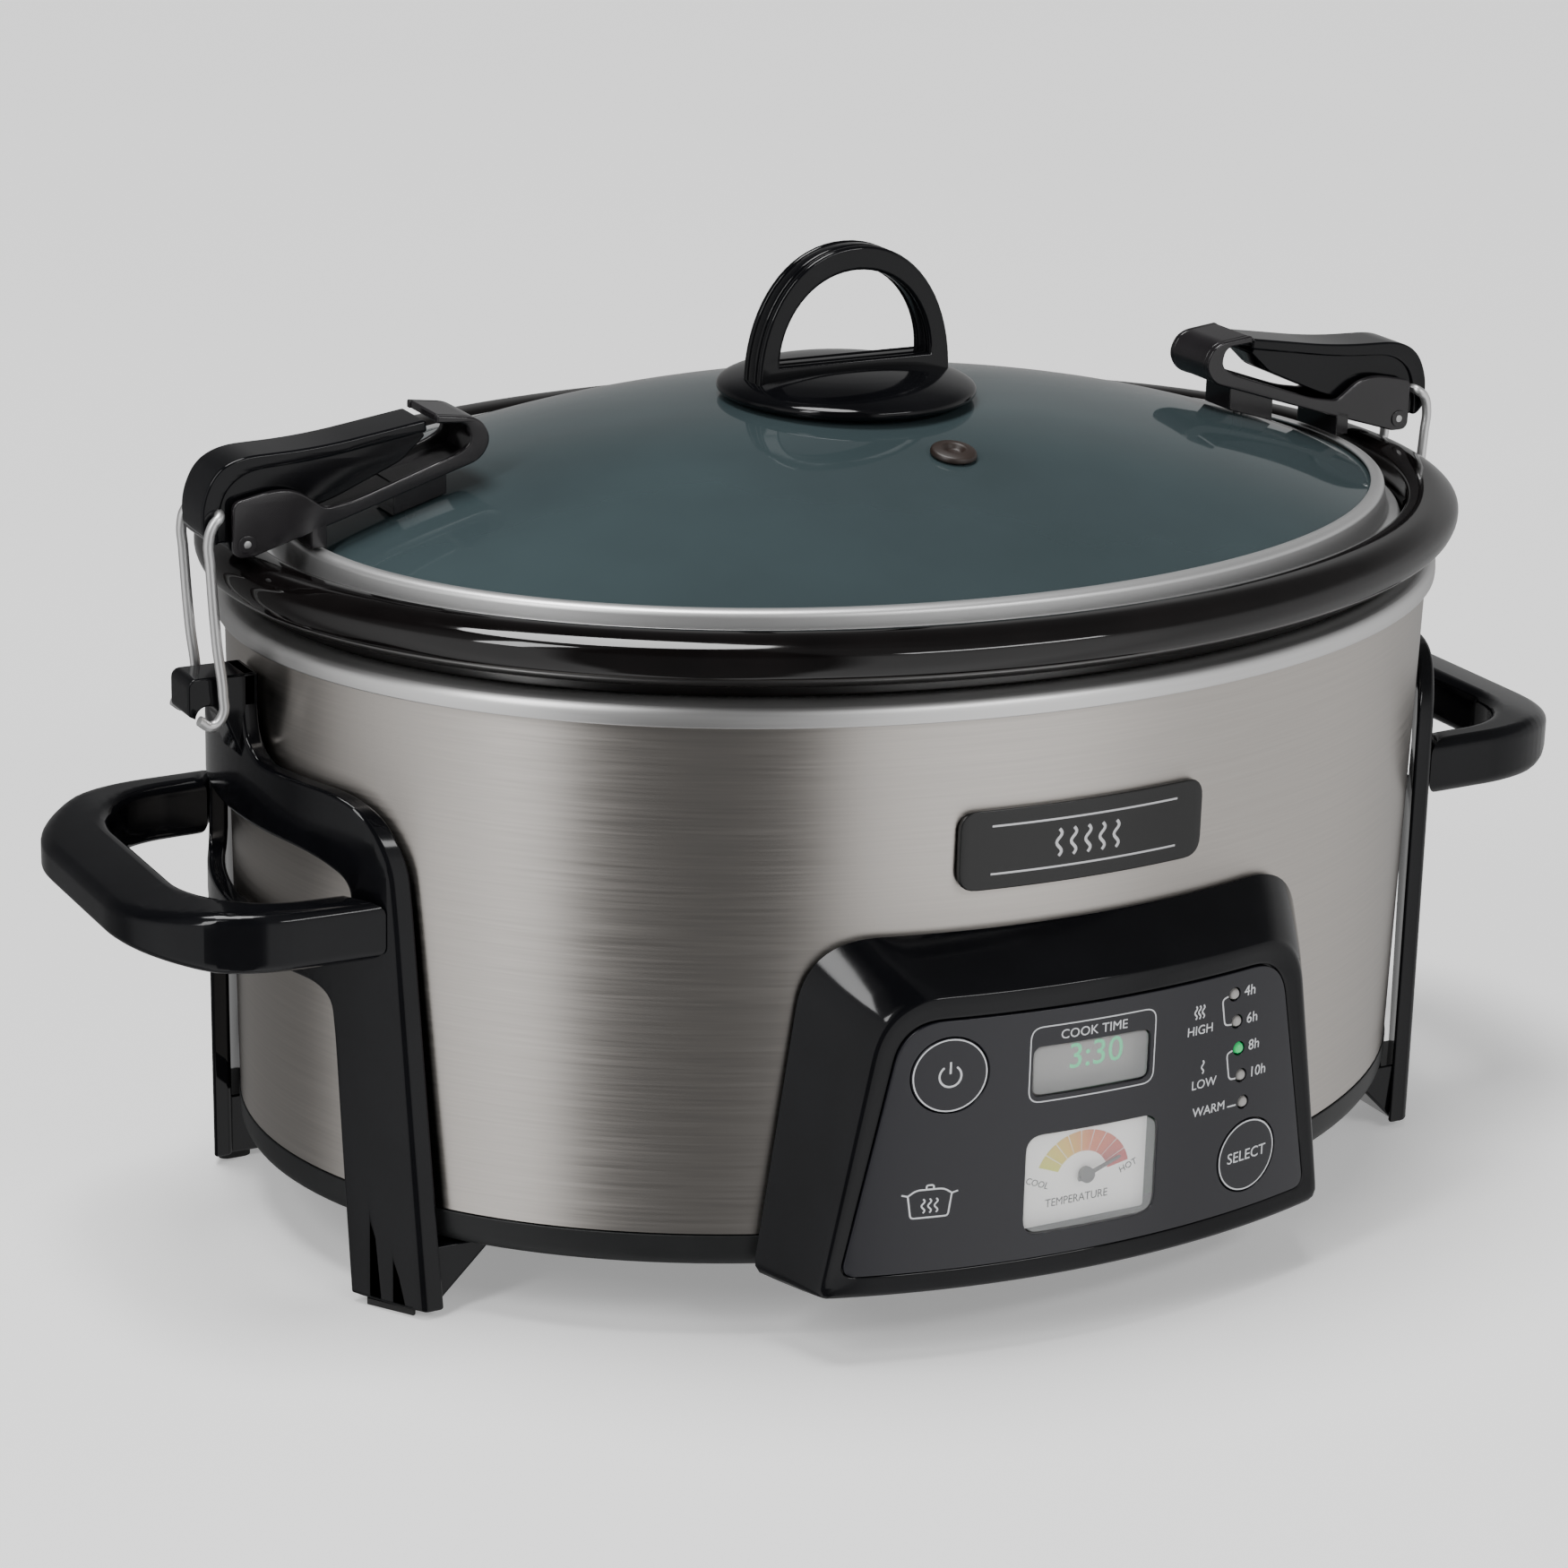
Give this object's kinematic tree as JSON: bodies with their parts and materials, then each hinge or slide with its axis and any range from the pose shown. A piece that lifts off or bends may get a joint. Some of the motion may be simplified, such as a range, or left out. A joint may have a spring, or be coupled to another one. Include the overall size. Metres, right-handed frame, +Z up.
{
  "type": "slow cooker",
  "caption": "Oval electric slow cooker with a lift-out crock, a clip-down glass lid, carrying handles and a front control panel with a travel gauge.",
  "frame": {"origin": "middle of the overall footprint, on the table that the four feet stand on", "axes": "+X from the left handle to the right handle as seen from the control panel, the control panel faces -Y, +Z up"},
  "size_m": [0.418, 0.2714, 0.243],
  "materials": {
    "stainless_shell": "horizontally brushed satin stainless steel",
    "bright_metal": "satin rolled edge",
    "polished_steel": "polished steel band and wire",
    "plated_steel": "zinc plated",
    "black_gloss": "gloss moulded plastic",
    "clip_grey": "gloss charcoal plastic",
    "tray_charcoal": "satin painted steel",
    "crock_glaze": "black gloss glaze",
    "lid_glass": "clear tempered glass with a grey-green cast",
    "black_rubber": "matt",
    "vent_brown": "matt dark brown",
    "panel_overlay": "smooth blue-black printed overlay",
    "badge_black": "plain gloss plate",
    "clear_window": "clear flat window",
    "display_grey": "liquid crystal grey",
    "gauge_card": "printed white card",
    "needle_grey": "satin paint",
    "lamp_green": "lit green lens",
    "lamp_clear": "unlit clear lens",
    "board_green": "solder mask",
    "inner_black": "plain moulding",
    "insulation": "needled glass fibre felt"
  },
  "bodies": {
    "base": {"base_tray": "tray_charcoal", "outer_shell": "stainless_shell", "heating_well": "bright_metal", "heat_shield": "plated_steel", "heater_band": "plated_steel", "insulation_blanket": "insulation", "temperature_probe": "plated_steel", "cord_gland": "black_gloss", "name_badge": "badge_black", "control_housing": "black_gloss", "control_panel": "panel_overlay", "display_lens": "clear_window", "gauge_lens": "clear_window", "display_module": "display_grey", "gauge_face": "gauge_card", "gauge_body": "inner_black", "led_4h": "lamp_clear", "led_6h": "lamp_clear", "led_8h": "lamp_green", "led_10h": "lamp_clear", "led_warm": "lamp_clear", "control_board": "board_green", "power_switch": "inner_black", "select_switch": "inner_black", "right_leg_frame": "black_gloss", "right_handle": "black_gloss", "foot_pad_right_front": "black_rubber", "foot_screw_right_front": "plated_steel", "foot_pad_right_back": "black_rubber", "foot_screw_right_back": "plated_steel", "left_leg_frame": "black_gloss", "left_handle": "black_gloss", "foot_pad_left_front": "black_rubber", "foot_screw_left_front": "plated_steel", "foot_pad_left_back": "black_rubber", "foot_screw_left_back": "plated_steel"},
    "power_button": {"power_button": "panel_overlay"},
    "select_button": {"select_button": "panel_overlay"},
    "needle": {"gauge_needle": "needle_grey"},
    "crock": {"stoneware_crock": "crock_glaze"},
    "lid": {"lid_glass": "lid_glass", "lid_rim": "polished_steel", "lid_gasket": "black_rubber", "vent_grommet": "vent_brown", "knob_base": "black_gloss", "knob_loop": "black_gloss", "knob_screw": "plated_steel", "knob_washer": "black_rubber", "right_latch_bracket": "clip_grey", "left_latch_bracket": "clip_grey", "right_latch_pin": "plated_steel", "left_latch_pin": "plated_steel", "right_latch_screw": "plated_steel", "left_latch_screw": "plated_steel"},
    "right_lever": {"right_latch_lever": "black_gloss"},
    "left_lever": {"left_latch_lever": "black_gloss"},
    "right_bail": {"right_latch_bail": "polished_steel"},
    "left_bail": {"left_latch_bail": "polished_steel"}
  },
  "joints": [
    {"name": "crock_lift", "type": "slide", "parent": "base", "child": "crock", "axis": [0, 0, 1], "range_m": [0, 0.15]},
    {"name": "lid_lift", "type": "slide", "parent": "crock", "child": "lid", "axis": [0, 0, 1], "range_m": [0, 0.1]},
    {"name": "power_press", "type": "slide", "parent": "base", "child": "power_button", "axis": [0.1846, 0.9828, 0], "range_m": [0, 0.0006], "stiffness_N_per_m": 1500},
    {"name": "select_press", "type": "slide", "parent": "base", "child": "select_button", "axis": [-0.1978, 0.9802, 0], "range_m": [0, 0.0006], "stiffness_N_per_m": 1500},
    {"name": "needle_swing", "type": "hinge", "parent": "base", "child": "needle", "pos_m": [-0.0024, -0.1315, 0.0408], "axis": [0, -1, 0], "range_deg": [0, 140]},
    {"name": "right_lever_open", "type": "hinge", "parent": "lid", "child": "right_lever", "pos_m": [0.1673, 0.0043, 0.184], "axis": [0, 1, 0], "range_deg": [0, 70]},
    {"name": "right_bail_swing", "type": "hinge", "parent": "right_lever", "child": "right_bail", "pos_m": [0.1734, 0.0043, 0.1914], "axis": [0, 1, 0], "range_deg": [-92, 0]},
    {"name": "left_lever_open", "type": "hinge", "parent": "lid", "child": "left_lever", "pos_m": [-0.1673, 0.0043, 0.184], "axis": [0, -1, 0], "range_deg": [0, 70]},
    {"name": "left_bail_swing", "type": "hinge", "parent": "left_lever", "child": "left_bail", "pos_m": [-0.1734, 0.0043, 0.1914], "axis": [0, -1, 0], "range_deg": [-92, 0]}
  ],
  "couplings": [
    {"joint": "right_bail_swing", "follows": "right_lever_open", "ratio": -1.31},
    {"joint": "left_bail_swing", "follows": "left_lever_open", "ratio": -1.31}
  ]
}
